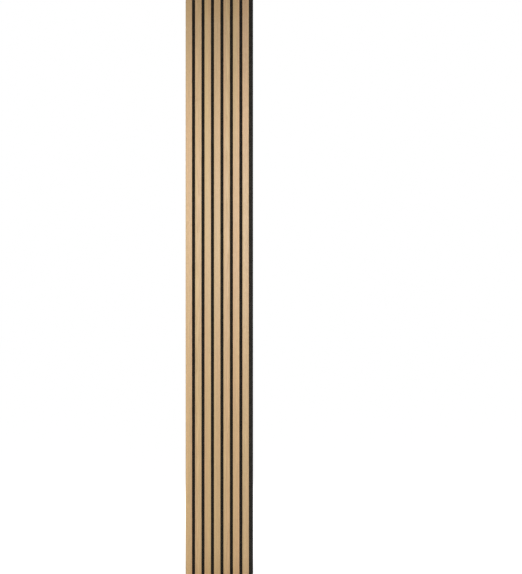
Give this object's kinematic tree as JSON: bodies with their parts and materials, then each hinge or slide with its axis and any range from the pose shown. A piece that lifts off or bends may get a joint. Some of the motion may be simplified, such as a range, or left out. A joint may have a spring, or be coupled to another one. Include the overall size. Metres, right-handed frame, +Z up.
{
  "type": "acoustic slat wall panel",
  "caption": "Tall upright wall panel of veneered slats with open grooves between them, stapled to a dark felt backing that damps sound and lips out on one side for the next panel.",
  "frame": {"origin": "centre of the felt's back, on the wall", "axes": "+Z up along the slats, +X across the panel to the felt's lip, +Y into the wall; the slats face -Y"},
  "size_m": [0.285, 0.021, 2.44],
  "materials": {
    "oak_veneer": "satin",
    "fibreboard": "matt, raw",
    "felt": "pressed, fibrous",
    "staple_steel": "bright zinc"
  },
  "bodies": {
    "root": {"felt_backing": "felt", "slat_core_1": "fibreboard", "slat_veneer_1": "oak_veneer", "slat_core_2": "fibreboard", "slat_veneer_2": "oak_veneer", "slat_core_3": "fibreboard", "slat_veneer_3": "oak_veneer", "slat_core_4": "fibreboard", "slat_veneer_4": "oak_veneer", "slat_core_5": "fibreboard", "slat_veneer_5": "oak_veneer", "slat_core_6": "fibreboard", "slat_veneer_6": "oak_veneer", "slat_core_7": "fibreboard", "slat_veneer_7": "oak_veneer", "staples": "staple_steel"}
  },
  "joints": []
}
